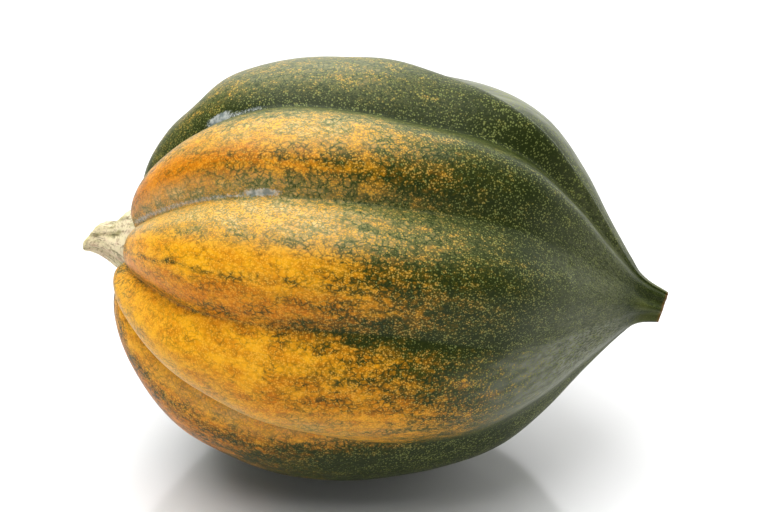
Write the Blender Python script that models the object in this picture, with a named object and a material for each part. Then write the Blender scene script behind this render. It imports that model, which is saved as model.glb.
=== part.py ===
"""Acorn squash, whole and uncut, lying on its side.

Blender 4.5. Metres, +Z up. The fruit's own line, from the stem through the heart to the
blossom end, runs along +X with the blossom end a few degrees low. Both pieces are turned
about that line, then given their ribs or corners, and are laid down together at the end.
"""
import math

import bmesh
import bpy
from mathutils import Matrix, Vector

MM = 0.001

# The hollow that holds the stem, in millimetres: where its floor is along the fruit's line, and how
# wide it is. The stem keeps the gap all round, so that the two pieces meet without overlapping.
HOLLOW_FLOOR, HOLLOW_RADIUS = -53.5, 10.3
GAP = 0.3

# The fruit's crest line: the outline over the top of a rib, as (distance along the fruit's
# line, distance out from it) in millimetres. It starts at the edge of the hollow.
CREST = [
    (-57.5, 10.4), (-60.6, 11.9), (-62.2, 16.5), (-60.2, 25.0), (-55.0, 34.2), (-46.4, 44.0),
    (-35.8, 51.5), (-19.4, 57.1), (-2.3, 58.6), (14.8, 56.9), (31.4, 53.1), (46.8, 45.5),
    (58.4, 33.2), (68.0, 19.6), (73.4, 12.2), (77.2, 7.8), (80.6, 5.7), (86.0, 4.2),
]
CREST_RINGS = 38
RIM = 0.04                     # the share of the crest line that is the hollow's plain rim
BLOSSOM_SCAR_RINGS = 2
STEP = 0.01                    # the share of the crest line over which its direction is taken

# Ribs. A furrow's place is the angle round the fruit's line, in degrees, from the side that
# faces -Y, upwards. The fruit has ten ribs, unequal as on a real one.
FURROWS = [-33.0, 9.0, 47.0, 81.0, 120.0, 155.0, 189.0, 221.0, 253.0, 289.0]
SEGMENTS = 120
# How deep the furrows are in millimetres, against the place along the crest line from 0 to 1.
FURROW_DEPTH = [(0.0, 0.0), (0.05, 3.6), (0.16, 6.2), (0.35, 4.8), (0.55, 3.6), (0.75, 2.4),
                (0.9, 1.0), (1.0, 0.5)]
SHARP_UNTIL, SOFT_FROM = 0.15, 0.75   # a furrow is a crease before the first, rounded after the second
ROUNDING = 0.6                 # how far a crease opens into a wave, where 1 is a full wave

# One side, at this angle, has grown fuller than the other: millimetres outwards, against the same
# place. The blossom stub bends away from it by so many degrees, and the stem was cut facing it.
FULL_SIDE = 118.0
FULLNESS = [(0.0, -2.6), (0.12, -2.1), (0.3, -0.9), (0.5, 0.1), (0.66, 2.0), (0.78, 2.1), (1.0, 0.3)]
STUB_START, STUB_BEND = 76.0, 7.5

# The stem, from its flared foot in the hollow to the cut.
STEM = [(HOLLOW_FLOOR - GAP, HOLLOW_RADIUS - GAP), (-57.0, 10.0), (-60.0, 9.9), (-62.4, 9.3), (-64.6, 7.8),
        (-66.6, 6.2), (-68.8, 5.1), (-71.4, 4.7), (-74.6, 4.9), (-77.6, 5.2)]
STEM_RINGS = 16
STEM_SEGMENTS = 40
STEM_CORNERS, STEM_CORNER_HEIGHT = 5, 0.08    # five-angled; height as a share of the radius
CORNERS_FULL_AT = 0.3                         # the share of the stem over which its corners grow in
STEM_CUT_AT, STEM_CUT_SLANT = -72.6, 17.0     # where the cut crosses the line, and its slant in degrees

# How it lies.
PITCH = 4.0                    # the blossom end is this many degrees low
FLAT_DEPTH = 1.0 * MM          # how much the belly is flattened where it rests

# Finishes: linear colour and roughness.
RIND = (0.17, 0.15, 0.03), 0.42
DRY_STEM = (0.55, 0.48, 0.32), 0.85
SHARP_ANGLE = 40.0             # degrees: an edge that turns more than this is shaded sharp

# A ring's place is its share of the crest line, and these mark the rings before and after it.
BEFORE, AFTER = -1.0, 2.0
MERGE_WITHIN = 0.001 * MM


def smooth_value(points, x):
    """The height at x of a smooth curve through (x, y) points that rise in x."""
    if x <= points[0][0]:
        return points[0][1]
    if x >= points[-1][0]:
        return points[-1][1]
    slopes = []
    for index in range(len(points)):
        before = points[max(index - 1, 0)]
        after = points[min(index + 1, len(points) - 1)]
        slopes.append((after[1] - before[1]) / (after[0] - before[0]))
    index = max(i for i in range(len(points) - 1) if points[i][0] <= x)
    (x0, y0), (x1, y1) = points[index], points[index + 1]
    width = x1 - x0
    u = (x - x0) / width
    return (y0 * (1 + 2 * u) * (1 - u) ** 2 + y1 * u * u * (3 - 2 * u)
            + width * (slopes[index] * u * (1 - u) ** 2 - slopes[index + 1] * u * u * (1 - u)))


def smooth_outline(points, rings):
    """That many places evenly along a smooth curve through the points, as (place, x, radius)."""
    length = [0.0]
    for (x0, r0), (x1, r1) in zip(points, points[1:]):
        length.append(length[-1] + math.hypot(x1 - x0, r1 - r0))
    along_x = [(l / length[-1], x) for l, (x, _) in zip(length, points)]
    along_r = [(l / length[-1], r) for l, (_, r) in zip(length, points)]
    places = [index / (rings - 1) for index in range(rings)]
    return [(t, smooth_value(along_x, t), smooth_value(along_r, t)) for t in places]


def turned(rings, segments):
    """A body turned about X from (place, x, radius) rings; each vertex remembers its place."""
    bm = bmesh.new()
    place = bm.verts.layers.float.new("place")
    verts = []
    for t, x, radius in rings:
        vert = bm.verts.new((x * MM, 0.0, radius * MM))
        vert[place] = t
        verts.append(vert)
    edges = [bm.edges.new(pair) for pair in zip(verts, verts[1:])]
    bmesh.ops.spin(bm, geom=verts + edges, cent=(0, 0, 0), axis=(1, 0, 0), dvec=(0, 0, 0),
                   angle=math.tau, steps=segments, use_merge=True)
    bmesh.ops.remove_doubles(bm, verts=bm.verts, dist=MERGE_WITHIN)
    bmesh.ops.recalc_face_normals(bm, faces=bm.faces)
    return bm, place


def direction(angle):
    """The unit vector out from X at an angle in degrees, from -Y upwards."""
    return Vector((0.0, -math.cos(math.radians(angle)), math.sin(math.radians(angle))))


def angle_round(co):
    """The angle round X in degrees, from -Y upwards, between the first furrow and a turn later."""
    angle = math.degrees(math.atan2(co.z, -co.y))
    return (angle - FURROWS[0]) % 360.0 + FURROWS[0]


def across_rib(angle):
    """Where an angle lies across its rib: 0 on the crest, -1 and 1 in the furrows."""
    edges = FURROWS + [FURROWS[0] + 360.0]
    index = max(i for i in range(len(FURROWS)) if edges[i] <= angle)
    return 2 * (angle - edges[index]) / (edges[index + 1] - edges[index]) - 1


def rib_height(u, t):
    """How high a rib stands, 0 in the furrow to 1 on the crest."""
    softness = min(max((t - SHARP_UNTIL) / (SOFT_FROM - SHARP_UNTIL), 0.0), 1.0)
    creased = 1 - u * u
    rounded = math.cos(math.pi * u / 2) ** 2
    return creased + ROUNDING * softness * (rounded - creased)


def outward(crest, t):
    """The crest line's outward direction at a place, as (x, radius)."""
    along_x = [(place, x) for place, x, _ in crest]
    along_r = [(place, radius) for place, _, radius in crest]
    low, high = max(t - STEP, 0.0), min(t + STEP, 1.0)
    dx = smooth_value(along_x, high) - smooth_value(along_x, low)
    dr = smooth_value(along_r, high) - smooth_value(along_r, low)
    size = math.hypot(dx, dr)
    return -dr / size, dx / size


def fruit_mesh():
    """The fruit's mesh along X: hollow, ribs and blossom stub."""
    hollow = [(BEFORE, HOLLOW_FLOOR, radius) for radius in (0.0, HOLLOW_RADIUS)]
    crest = smooth_outline(CREST, CREST_RINGS)
    scar_x, scar_radius = CREST[-1]
    inward = [1 - (ring + 1) / BLOSSOM_SCAR_RINGS for ring in range(BLOSSOM_SCAR_RINGS)]
    scar = [(AFTER, scar_x, scar_radius * share) for share in inward]
    bm, place = turned(hollow + crest + scar, SEGMENTS)
    normals = {}
    for vert in bm.verts:
        t = vert[place]
        if 0.0 <= t <= 1.0:
            angle = angle_round(vert.co)
            if t not in normals:
                normals[t] = outward(crest, t)
            push = smooth_value(FULLNESS, t) * math.cos(math.radians(angle - FULL_SIDE)) * min(t / RIM, 1.0)
            push -= smooth_value(FURROW_DEPTH, t) * (1 - rib_height(across_rib(angle), t))
            out_x, out_r = normals[t]
            radial = Vector((0.0, vert.co.y, vert.co.z)).normalized()
            vert.co += (Vector((out_x, 0.0, 0.0)) + radial * out_r) * push * MM
    for vert in bm.verts:
        beyond = vert.co.x - STUB_START * MM
        if beyond > 0:
            vert.co -= direction(FULL_SIDE) * beyond * math.tan(math.radians(STUB_BEND))
    return bm


def stem_mesh():
    """The stem's mesh along X: five-angled, and cut at a slant."""
    side = smooth_outline(STEM, STEM_RINGS)
    foot = [(0.0, STEM[0][0], 0.0)]
    tip = [(1.0, STEM[-1][0], 0.0)]
    bm, place = turned(foot + side + tip, STEM_SEGMENTS)
    for vert in bm.verts:
        strength = STEM_CORNER_HEIGHT * min(vert[place] / CORNERS_FULL_AT, 1.0)
        wave = math.cos(STEM_CORNERS * math.atan2(vert.co.z, -vert.co.y)) - 1
        vert.co.yz = vert.co.yz * (1 + strength * wave)
    slant = math.radians(STEM_CUT_SLANT)
    facing = Vector((-math.cos(slant), 0.0, 0.0)) + direction(FULL_SIDE) * math.sin(slant)
    cut = bmesh.ops.bisect_plane(bm, geom=bm.verts[:] + bm.edges[:] + bm.faces[:],
                                 plane_co=(STEM_CUT_AT * MM, 0, 0), plane_no=facing, clear_outer=True)
    rim = [item for item in cut["geom_cut"] if isinstance(item, bmesh.types.BMEdge)]
    bmesh.ops.holes_fill(bm, edges=rim, sides=0)
    return bm


def lay_down(pieces):
    """Turns the pieces to how the fruit lies, flattens the belly at z = 0 and centres the box."""
    pitch = Matrix.Rotation(math.radians(PITCH), 4, "Y")
    for bm in pieces:
        bm.transform(pitch)
    lowest = min(vert.co.z for bm in pieces for vert in bm.verts)
    for bm in pieces:
        bmesh.ops.translate(bm, verts=bm.verts, vec=(0, 0, -lowest - FLAT_DEPTH))
    fruit = pieces[0]
    cut = bmesh.ops.bisect_plane(fruit, geom=fruit.verts[:] + fruit.edges[:] + fruit.faces[:],
                                 plane_co=(0, 0, 0), plane_no=(0, 0, -1), clear_outer=True)
    rim = [item for item in cut["geom_cut"] if isinstance(item, bmesh.types.BMEdge)]
    bmesh.ops.holes_fill(fruit, edges=rim, sides=0)
    points = [vert.co for bm in pieces for vert in bm.verts]
    middle = [(min(p[i] for p in points) + max(p[i] for p in points)) / 2 for i in (0, 1)]
    for bm in pieces:
        bmesh.ops.translate(bm, verts=bm.verts, vec=(-middle[0], -middle[1], 0))


def material(name, colour, roughness):
    """A plain material in one colour."""
    made = bpy.data.materials.new(name)
    made.use_nodes = True
    shader = made.node_tree.nodes["Principled BSDF"]
    shader.inputs["Base Color"].default_value = (*colour, 1.0)
    shader.inputs["Roughness"].default_value = roughness
    shader.inputs["Metallic"].default_value = 0.0
    return made


def add_object(name, bm, finish):
    """Adds a piece to the scene from its mesh, shaded smooth."""
    bmesh.ops.triangulate(bm, faces=bm.faces)
    mesh = bpy.data.meshes.new(name)
    bm.to_mesh(mesh)
    bm.free()
    mesh.shade_smooth()
    mesh.set_sharp_from_angle(angle=math.radians(SHARP_ANGLE))
    mesh.materials.append(finish)
    bpy.context.scene.collection.objects.link(bpy.data.objects.new(name, mesh))


def build():
    """Clears the scene and adds the two pieces."""
    for old in list(bpy.data.objects):
        bpy.data.objects.remove(old)
    fruit, stem = fruit_mesh(), stem_mesh()
    lay_down([fruit, stem])
    add_object("fruit", fruit, material("rind", *RIND))
    add_object("stem", stem, material("dry_stem", *DRY_STEM))


build()
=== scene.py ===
# %% [markdown]
# # An acorn squash, lying on its side
#
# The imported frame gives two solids: `fruit`, the ribbed body with its drawn-out blossom tip,
# and `stem`, the dried stalk that it hung from. They fix the squash's size and how it lies.
# This script stands a finely shaped and coloured piece in for each of them.

# %% Load the frame
import math
from functools import lru_cache

import bmesh
import bpy
from mathutils import Matrix, Vector, noise


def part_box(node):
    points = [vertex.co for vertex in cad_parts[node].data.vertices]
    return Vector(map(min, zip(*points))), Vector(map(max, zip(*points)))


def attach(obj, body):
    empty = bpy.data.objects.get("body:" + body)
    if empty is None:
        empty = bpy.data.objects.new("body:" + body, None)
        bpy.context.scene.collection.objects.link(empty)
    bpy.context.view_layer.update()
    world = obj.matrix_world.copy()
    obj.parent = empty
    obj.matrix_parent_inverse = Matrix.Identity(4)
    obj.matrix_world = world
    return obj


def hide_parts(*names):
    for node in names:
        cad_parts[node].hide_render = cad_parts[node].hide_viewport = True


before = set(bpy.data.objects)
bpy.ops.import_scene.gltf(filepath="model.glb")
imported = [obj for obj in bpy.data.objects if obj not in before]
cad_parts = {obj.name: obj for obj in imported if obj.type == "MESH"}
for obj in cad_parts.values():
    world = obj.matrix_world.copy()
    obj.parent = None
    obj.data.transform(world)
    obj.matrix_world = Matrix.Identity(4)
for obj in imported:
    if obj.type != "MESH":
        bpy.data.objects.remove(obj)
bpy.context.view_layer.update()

MM = 0.001

# %% [markdown]
# ## Curves through a few points
#
# The outline, the depth of the furrows and the fullness of the sides all change smoothly from
# stem to tip. Each is given by a few points, and `smooth_value` draws a smooth curve through them.
# Straight lines between the points would show as bands on the waxy rind.

# %% Smooth curves and soft steps


def smooth_value(points, x):
    """The height at x of a smooth curve through (x, y) points that rise in x."""
    if x <= points[0][0]:
        return points[0][1]
    if x >= points[-1][0]:
        return points[-1][1]
    index = max(i for i in range(len(points) - 1) if points[i][0] <= x)
    (x0, y0), (x1, y1) = points[index], points[index + 1]
    before, after = points[max(index - 1, 0)], points[min(index + 2, len(points) - 1)]
    start = (y1 - before[1]) / (x1 - before[0]) * (x1 - x0)
    end = (after[1] - y0) / (after[0] - x0) * (x1 - x0)
    u = (x - x0) / (x1 - x0)
    return (y0 * (1 + 2 * u) * (1 - u) ** 2 + y1 * u * u * (3 - 2 * u)
            + start * u * (1 - u) ** 2 - end * u * u * (1 - u))


def smooth_outline(points, rings):
    """That many (place, x, radius) evenly along a smooth curve, with place from 0 to 1."""
    length = [0.0]
    for (x0, r0), (x1, r1) in zip(points, points[1:]):
        length.append(length[-1] + math.hypot(x1 - x0, r1 - r0))
    along_x = [(l / length[-1], x) for l, (x, _) in zip(length, points)]
    along_r = [(l / length[-1], r) for l, (_, r) in zip(length, points)]
    places = [index / (rings - 1) for index in range(rings)]
    return [(t, smooth_value(along_x, t), smooth_value(along_r, t)) for t in places]


def ease(x, low, high):
    """0 below low, 1 above high, and a soft step between."""
    u = min(max((x - low) / (high - low), 0.0), 1.0)
    return u * u * (3 - 2 * u)


def direction(angle):
    """The unit vector out from the fruit's line at an angle in degrees, from -Y upwards."""
    return Vector((0.0, -math.cos(math.radians(angle)), math.sin(math.radians(angle))))


print("a quarter of the way up a soft step:", ease(0.25, 0.0, 1.0))

# %% [markdown]
# ## Turning a body
#
# Both pieces are round bodies at heart. They could start from a sphere, but its rings would not
# follow the outline evenly, so `bmesh.ops.spin` turns an outline about X into closed rings. A
# spin leaves doubles where the ends lie on the line, so those are merged.

# %% A turned body that remembers its rings
WEDGES = 20                              # a spin of one wedge, repeated, is much quicker than a full one


def turned(rings, segments):
    """A closed body turned about X from (place, x, radius); each vertex keeps its place."""
    bm = bmesh.new()
    place = bm.verts.layers.float.new("place")
    verts = []
    for t, x, radius in rings:
        vert = bm.verts.new((x * MM, 0.0, radius * MM))
        vert[place] = t
        verts.append(vert)
    edges = [bm.edges.new(pair) for pair in zip(verts, verts[1:])]
    about_x = dict(cent=(0, 0, 0), axis=(1, 0, 0), dvec=(0, 0, 0))
    wedge = math.tau / WEDGES
    bmesh.ops.spin(bm, geom=verts + edges, angle=wedge, steps=segments // WEDGES, **about_x)
    bmesh.ops.spin(bm, geom=bm.verts[:] + bm.edges[:] + bm.faces[:], angle=math.tau - wedge,
                   steps=WEDGES - 1, use_duplicate=True, **about_x)
    bmesh.ops.remove_doubles(bm, verts=bm.verts, dist=0.001 * MM)
    bmesh.ops.recalc_face_normals(bm, faces=bm.faces)
    return bm, place


print("each full turn is made of", WEDGES, "wedges")

# %% [markdown]
# ## The fruit's outline
#
# The crest line is the outline over the top of a rib: out of the hollow that holds the stem,
# round the shoulder, over the widest place just before the middle, and in a hollow curve down
# to the dried blossom stub. The stub ends in a small scar, made by the last rings.

# %% Turn the fruit
HOLLOW = (-1.0, -57.0, 0.0)
CREST = [
    (-57.0, 8.6), (-60.4, 11.6), (-62.2, 16.5), (-60.2, 25.0), (-55.0, 34.2), (-46.4, 44.0),
    (-35.8, 51.5), (-19.4, 57.1), (-2.3, 58.6), (14.8, 56.9), (31.4, 53.1), (46.8, 45.5),
    (58.4, 33.2), (68.0, 19.6), (73.4, 12.2), (77.2, 7.8), (80.4, 5.6), (85.0, 4.1),
]
RINGS, SEGMENTS = 212, 440
SCAR = [(0.90, 0.0), (0.78, -0.5), (0.5, -0.9), (0.0, -1.0)]   # share of the radius, mm along

crest = smooth_outline(CREST, RINGS)
crest_length = sum(math.dist(a[1:], b[1:]) for a, b in zip(crest, crest[1:]))
tip_x, tip_radius = CREST[-1]
scar = [(2.0 + index, tip_x + sunk, tip_radius * share) for index, (share, sunk) in enumerate(SCAR)]
fruit, fruit_place = turned([HOLLOW] + crest + scar, SEGMENTS)
print(len(fruit.verts), "vertices; the crest line is", round(crest_length), "mm long")

# %% [markdown]
# ## Ribs and furrows
#
# Ten furrows run from the stem to the tip, none quite straight and no two ribs alike. Each is
# given by its angle round the fruit's line at five places along it. Near the stem a furrow is a
# narrow crease between two full ribs. On the way to the tip it opens into a soft wave and fades.
# A rib can stand back a little, or lean over towards one of its furrows. The ribs could be made
# one by one, but as heights over one turned body they always meet without a seam.

# %% Where a point lies on its rib
FURROW_PLACES = (0.0, 0.22, 0.55, 0.72, 1.0)
FURROWS = [   # each furrow's angle in degrees at those places
    (-10.8, -19.3, -32.0, -39.0, -52.0), (5.0, 7.5, 10.0, 5.0, -5.0), (41.0, 44.0, 48.2, 49.5, 50.0),
    (84.5, 79.2, 80.6, 82.0, 84.0), (119.0, 117.6, 113.0, 97.0, 90.0), (156.0, 154.4, 152.0, 149.0, 146.0),
    (187.0, 188.2, 190.0, 189.0, 188.0), (222.0, 221.2, 220.0, 221.0, 223.0),
    (252.0, 253.0, 254.0, 252.0, 250.0), (290.0, 289.2, 288.0, 287.0, 286.0),
]
DEPTH = [   # place, a furrow's depth in mm
    (0.0, 0.0), (0.05, 3.6), (0.16, 6.2), (0.35, 5.2), (0.55, 4.2), (0.75, 2.8), (0.85, 1.4),
    (0.93, 0.4), (1.0, 0.25),
]
DEEPER = [   # each furrow's own share of that depth, near the stem and towards the tip
    (1.35, 1.0), (1.0, 1.4), (1.0, 2.0), (1.0, 1.9), (1.0, 2.2),
    (1.0, 1.0), (1.0, 1.0), (1.0, 1.0), (1.0, 1.0), (1.0, 1.0),
]
STANDS_OUT = [   # how far each rib stands out, near the stem and towards the tip, in mm
    (-0.6, 0.0), (-1.7, 0.0), (-0.5, 0.0), (-0.5, 0.0), (0.0, -0.5),
    (0.0, 0.0), (0.0, 0.0), (0.0, 0.0), (0.0, 0.0), (-0.8, 0.0),
]
LEAN = [-0.25, 0.0, 0.0, 0.0, 0.0, 0.0, 0.0, 0.0, 0.0, 0.0]      # each rib's lean at the stem end
CREASED_UNTIL, SOFT_FROM = 0.3, 0.88                             # places
FULL_RIB = 2.3                                                   # above 2, a crest flatter than an arch


def furrow_angles(t):
    """The ten furrows' angles at a place, and the first one again a turn later."""
    angles = [smooth_value(list(zip(FURROW_PLACES, course)), t) for course in FURROWS]
    return angles + [angles[0] + 360.0]


def on_rib(angle, edges):
    """(rib, u): which rib an angle is on, and how far across, from -1 to 1."""
    angle = (angle - edges[0]) % 360.0 + edges[0]
    rib = max(i for i in range(len(FURROWS)) if edges[i] <= angle)
    return rib, 2 * (angle - edges[rib]) / (edges[rib + 1] - edges[rib]) - 1


def rib_height(u, t):
    """How high a rib stands, 0 in the furrow to 1 on the crest."""
    soft = ease(t, CREASED_UNTIL, SOFT_FROM)
    return (1 - soft) * (1 - abs(u) ** FULL_RIB) + soft * math.cos(math.pi * u / 2) ** 2


print("furrows at the middle:", [round(a) for a in furrow_angles(0.5)])

# %% [markdown]
# ## What makes it uneven
#
# No squash is a true body of revolution. One side has grown full, and the rind has shallow dents
# and bumps where it lay against stones and stalks. Sculpting by hand would do, but a short list
# of dents gives the same result each time, and each can be changed alone.

# %% Fullness and dents
FULL_SIDE = 118.0                        # degrees: the side that has grown full
FULLNESS = [   # place, how far out that side is and the other side in, in mm
    (0.0, -2.6), (0.12, -2.1), (0.3, -0.9), (0.5, 0.1), (0.66, 2.0), (0.78, 2.1), (1.0, 0.3),
]
DENTS = [   # place, angle, how far it reaches in mm, how deep in mm; below 0 is a bump
    (0.20, 103.0, 11.0, 0.9), (0.27, 112.0, 11.0, -0.4), (0.50, 100.0, 17.0, -0.9), (0.62, 62.0, 14.0, -0.5),
    (0.815, 43.0, 2.6, 0.5), (0.80, 36.0, 4.0, -0.3), (0.40, -8.0, 18.0, -0.5), (0.33, 236.0, 15.0, 0.8),
]
EITHER_SIDE = 0.008                      # how far apart the two places are that give the slope


def outward(t):
    """The crest line's outward direction at a place, as (x, radius)."""
    low, high = (min(max(round((t + step) * (RINGS - 1)), 0), RINGS - 1)
                 for step in (-EITHER_SIDE, EITHER_SIDE))
    dx, dr = crest[high][1] - crest[low][1], crest[high][2] - crest[low][2]
    return Vector((-dr, dx)).normalized()


def dented(t, angle, radius):
    """How far in the dents push a point, in mm."""
    total = 0.0
    for place, middle, reach, deep in DENTS:
        round_by = math.radians((angle - middle + 180.0) % 360.0 - 180.0) * radius
        away = math.hypot((t - place) * crest_length, round_by)
        total += deep * (1 - ease(away, 0.0, reach))
    return total


print("halfway along, the crest faces", [round(v, 2) for v in outward(0.5)])

# %% [markdown]
# ## Shaping the rind
#
# Every vertex moves along the crest line's outward direction: out where this side has grown
# full, in towards the furrows and the dents, and a little either way by smooth noise, because no
# rib is as even as a formula. The same walk over the vertices notes where each lies on the skin,
# which the colours need later.

# %% Move the rind's vertices
RIM = 0.04                                                       # place: the hollow's rim stays round
NEAR_STEM, NEAR_TIP, AT_STUB = (0.08, 0.24), (0.5, 0.68), (0.85, 0.95)      # soft steps, from and to
TIPWARD, LEAN_ENDS = (0.3, 0.6), (0.4, 0.6)
UNEVEN, UNEVEN_SIZE = 0.5, 22.0          # mm: how much the surface wanders, and over what distance
EVEN_AT_STEM, EVEN_AT_TIP = 0.1, 0.2     # the share of the length over which that fades out

ring_facts = {}
lies = []
for vert in fruit.verts:
    t = vert[fruit_place]
    angle = round(math.degrees(math.atan2(vert.co.z, -vert.co.y)), 2)
    if not 0.0 <= t <= 1.0:
        lies.append((t, angle, 0, 0.0))
        continue
    if t not in ring_facts:
        ring_facts[t] = (outward(t), furrow_angles(t), smooth_value(DEPTH, t), smooth_value(FULLNESS, t))
    out, edges, depth, fullness = ring_facts[t]
    rib, u = on_rib(angle, edges)
    lies.append((t, angle, rib, u))
    share = (u + 1) / 2
    tipward = ease(t, *TIPWARD)
    before, after = (stemmost * (1 - tipward) + tipmost * tipward
                     for stemmost, tipmost in (DEEPER[rib], DEEPER[(rib + 1) % len(DEEPER)]))
    deeper = before * (1 - share) + after * share
    lean = LEAN[rib] * (1 - ease(t, *LEAN_ENDS))
    height = rib_height(u - lean * (1 - u * u), t)
    by_stem, by_tip = STANDS_OUT[rib]
    push = fullness * math.cos(math.radians(angle - FULL_SIDE)) * min(t / RIM, 1.0)
    push += by_stem * height * (1 - ease(t, *NEAR_STEM)) * min(t / RIM, 1.0)
    push += by_tip * height * ease(t, *NEAR_TIP) * (1 - ease(t, *AT_STUB))
    push -= depth * deeper * (1 - height) + dented(t, angle, vert.co.yz.length / MM)
    wander = UNEVEN * noise.noise(vert.co / (UNEVEN_SIZE * MM))
    push += wander * min(t / EVEN_AT_STEM, 1.0) * min((1 - t) / EVEN_AT_TIP, 1.0)
    radial = Vector((0.0, vert.co.y, vert.co.z)).normalized()
    vert.co += (Vector((out.x, 0.0, 0.0)) + radial * out.y) * push * MM
print(len(ring_facts), "rings shaped")

# %% [markdown]
# ## The dried stub
#
# The flower sat on the very tip, and left a stub there as it dried. It is fluted, bent to one
# side and worn off at a slant. All three are small moves of the last few rings, which is simpler
# than a piece of its own with a joint to hide.

# %% Flute, slant and bend the stub
STUB_START, STUB_BEND, STUB_SLANT = 76.0, 7.5, 12.0              # mm, degrees, degrees
STUB_FLUTES, FLUTE_DEPTH, FLUTE_TURN = 6, 0.13, 20.0             # share of the radius, degrees
FLUTED, SLANTED = (0.93, 1.0), (0.95, 1.0)                       # soft steps, from and to

for vert, (t, angle, rib, u) in zip(fruit.verts, lies):
    beyond = vert.co.x - STUB_START * MM
    if beyond > 0:
        flute = FLUTE_DEPTH * ease(t, *FLUTED) * math.cos(math.radians(STUB_FLUTES * (angle - FLUTE_TURN)))
        vert.co.yz = vert.co.yz * (1 + flute)
        facing = vert.co.dot(direction(FULL_SIDE))
        vert.co.x += facing * math.tan(math.radians(STUB_SLANT)) * ease(t, *SLANTED)
        vert.co -= direction(FULL_SIDE) * beyond * math.tan(math.radians(STUB_BEND))
print("the stub is", round(max(vert.co.x for vert in fruit.verts) / MM - STUB_START, 1), "mm long")

# %% [markdown]
# ## Laying it down
#
# The squash lies on its belly with the blossom end four degrees low. The whole body is tipped
# about Y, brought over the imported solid's place, and flattened where it touches the surface,
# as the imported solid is. Pressing the lowest vertices flat needs no cut and leaves no new edge.

# %% Tip the fruit and set it over its solid
PITCH = 4.0                              # degrees
FLAT_DEPTH = 1.0 * MM


def box_of(bm):
    """The lowest and highest corners of a bmesh."""
    points = [vert.co for vert in bm.verts]
    return tuple(Vector([pick(point[i] for point in points) for i in range(3)]) for pick in (min, max))


def in_mm(corners):
    """The same points in millimetres, rounded to be read."""
    return [[round(v / MM, 1) for v in corner] for corner in corners]


tipped = Matrix.Rotation(math.radians(PITCH), 4, "Y")
fruit.transform(tipped)
low, high = box_of(fruit)
solid_low, solid_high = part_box("fruit")
heart = (solid_low + solid_high) / 2 - (low + high) / 2
heart.z = -low.z - FLAT_DEPTH
bmesh.ops.translate(fruit, verts=fruit.verts, vec=heart)
for vert in fruit.verts:
    vert.co.z = max(vert.co.z, 0.0)
print("box in mm", in_mm(box_of(fruit)), "and its solid's", in_mm((solid_low, solid_high)))

# %% [markdown]
# ## Where it ripened
#
# The side that lay on the soil has turned from dark green to orange, most of all towards the
# stem. The turn goes rib by rib, so it is given as patches. Each is a soft window on the skin:
# from and to along the crest line, from and to round it in degrees, and how far it has turned.
# More windows say where the rind is a pale gold, partly its own colour and partly a painted
# highlight on the upward flanks and the front rib's lower edge; where it is a deep, reddish
# orange, partly its own and partly painted shade on the lower flanks and the low rib by the
# floor; and where a grey sheen is painted, a grazing reflection along the outline of the far
# rib, over the top and low on the right towards the tip, with a little wax bloom in it. Scurf
# lies in short bands beside two furrows, so those are measured from their furrow. The shader
# breaks all the edges up.

# %% Ripe, golden and painted highlight, deep and painted shade, painted sheen, and scurfy places
RIPE = [
    (0.00, 0.30, 46.0, 64.0, 1.00), (0.20, 0.55, 48.0, 66.0, 0.68), (0.16, 0.52, 60.0, 72.0, 0.70),
    (0.00, 0.20, 64.0, 80.0, 0.85), (0.10, 0.54, 84.0, 110.0, 0.34),
    (0.00, 0.52, 33.0, 47.0, 0.92), (0.00, 0.52, 17.0, 34.0, 1.00), (0.00, 0.42, 10.0, 20.0, 1.00),
    (0.32, 0.58, 10.0, 22.0, 0.45), (0.48, 0.70, 14.0, 44.0, 0.20),
    (0.00, 0.50, -33.0, 10.0, 1.00), (0.40, 0.66, -33.0, -8.0, 0.80), (0.42, 0.66, -12.0, 6.0, 0.50),
    (0.34, 0.74, -32.0, 74.0, 0.09),
    (0.00, 0.40, -62.0, -33.0, 0.80),
]
# Pale gold, partly the rind's own colour and partly a painted highlight on the upward flanks, the top rib
# and the front rib's lower edge.
GOLD_AND_HIGHLIGHT_PATCHES = [
    (0.24, 0.56, 60.0, 76.0, 1.0), (0.06, 0.60, 33.0, 50.0, 1.0), (0.22, 0.55, 84.0, 114.0, 0.8),
    (0.0, 0.22, 84.0, 114.0, 0.35), (0.02, 0.12, -12.0, 0.0, 0.8), (0.10, 0.26, -20.0, -8.0, 0.8),
    (0.24, 0.54, -30.0, -15.0, 0.6),
]
# Deep, darker orange: partly the rind's own, partly painted shade on the lower flanks and on the low rib by
# the floor.
DEEP_AND_SHADE_PATCHES = [
    (0.0, 0.36, 46.0, 62.0, 1.0), (0.02, 0.52, 8.0, 20.0, 0.75), (0.0, 0.5, -70.0, -33.0, 1.0),
    (0.25, 0.52, -33.0, -22.0, 0.5), (0.20, 0.60, -24.0, -4.0, 0.4),
]
# Painted sheen, with a little wax bloom: a grey grazing reflection painted along the far rib's outline, over
# the top rib and low on the right towards the tip.
PAINTED_SHEEN_PATCHES = [(0.74, 0.90, -32.0, 2.0, 1.0), (0.52, 0.88, 111.0, 130.0, 0.7), (0.30, 0.50, 88.0, 125.0, 0.25)]
SCURF = [   # rib; from, to along it; from, to in mm up from its lower furrow; amount
    (3, 0.05, 0.33, 0.3, 1.2, 0.82), (3, 0.225, 0.27, 0.5, 2.7, 0.95),
    (2, 0.05, 0.34, 0.3, 1.2, 0.82), (2, 0.32, 0.375, 0.3, 1.9, 0.95),
]
print(len(RIPE), "ripe patches,", len(GOLD_AND_HIGHLIGHT_PATCHES), "golden,", len(DEEP_AND_SHADE_PATCHES), "deep,", len(PAINTED_SHEEN_PATCHES), "hazy")

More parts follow.
